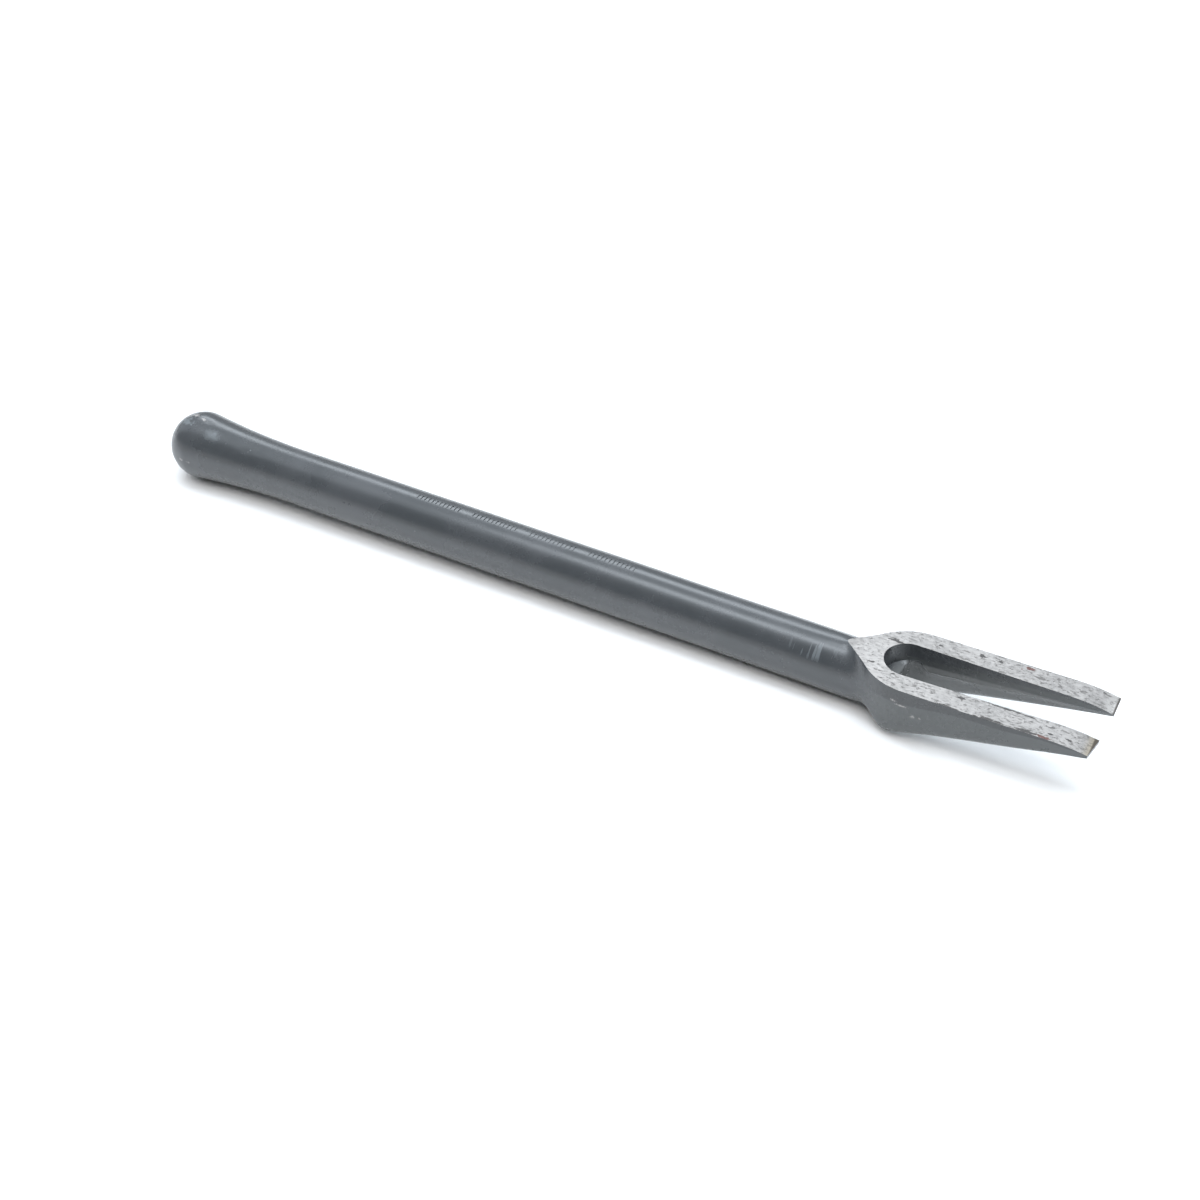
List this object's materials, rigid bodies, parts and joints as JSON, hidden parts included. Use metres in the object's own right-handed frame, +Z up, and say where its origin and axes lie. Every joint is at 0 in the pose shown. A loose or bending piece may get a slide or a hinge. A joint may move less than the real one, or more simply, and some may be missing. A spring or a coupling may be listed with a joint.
{
  "type": "ball joint separator",
  "caption": "Pickle-fork ball joint separator: one steel forging with a knob-ended round grip and a slotted, ground wedge fork",
  "frame": {"origin": "Middle of the length and width, level with the lowest point of the knob", "axes": "X runs along the handle and the fork points to +X; Z is up, square to the ground face; Y is across the fork"},
  "size_m": [0.4, 0.0352, 0.0288],
  "materials": {
    "forged_steel": "dark blue-grey satin coating on forged steel; the fork's top face is ground bare and is light grey"
  },
  "bodies": {
    "root": {"forged_fork": "forged_steel"}
  },
  "joints": []
}
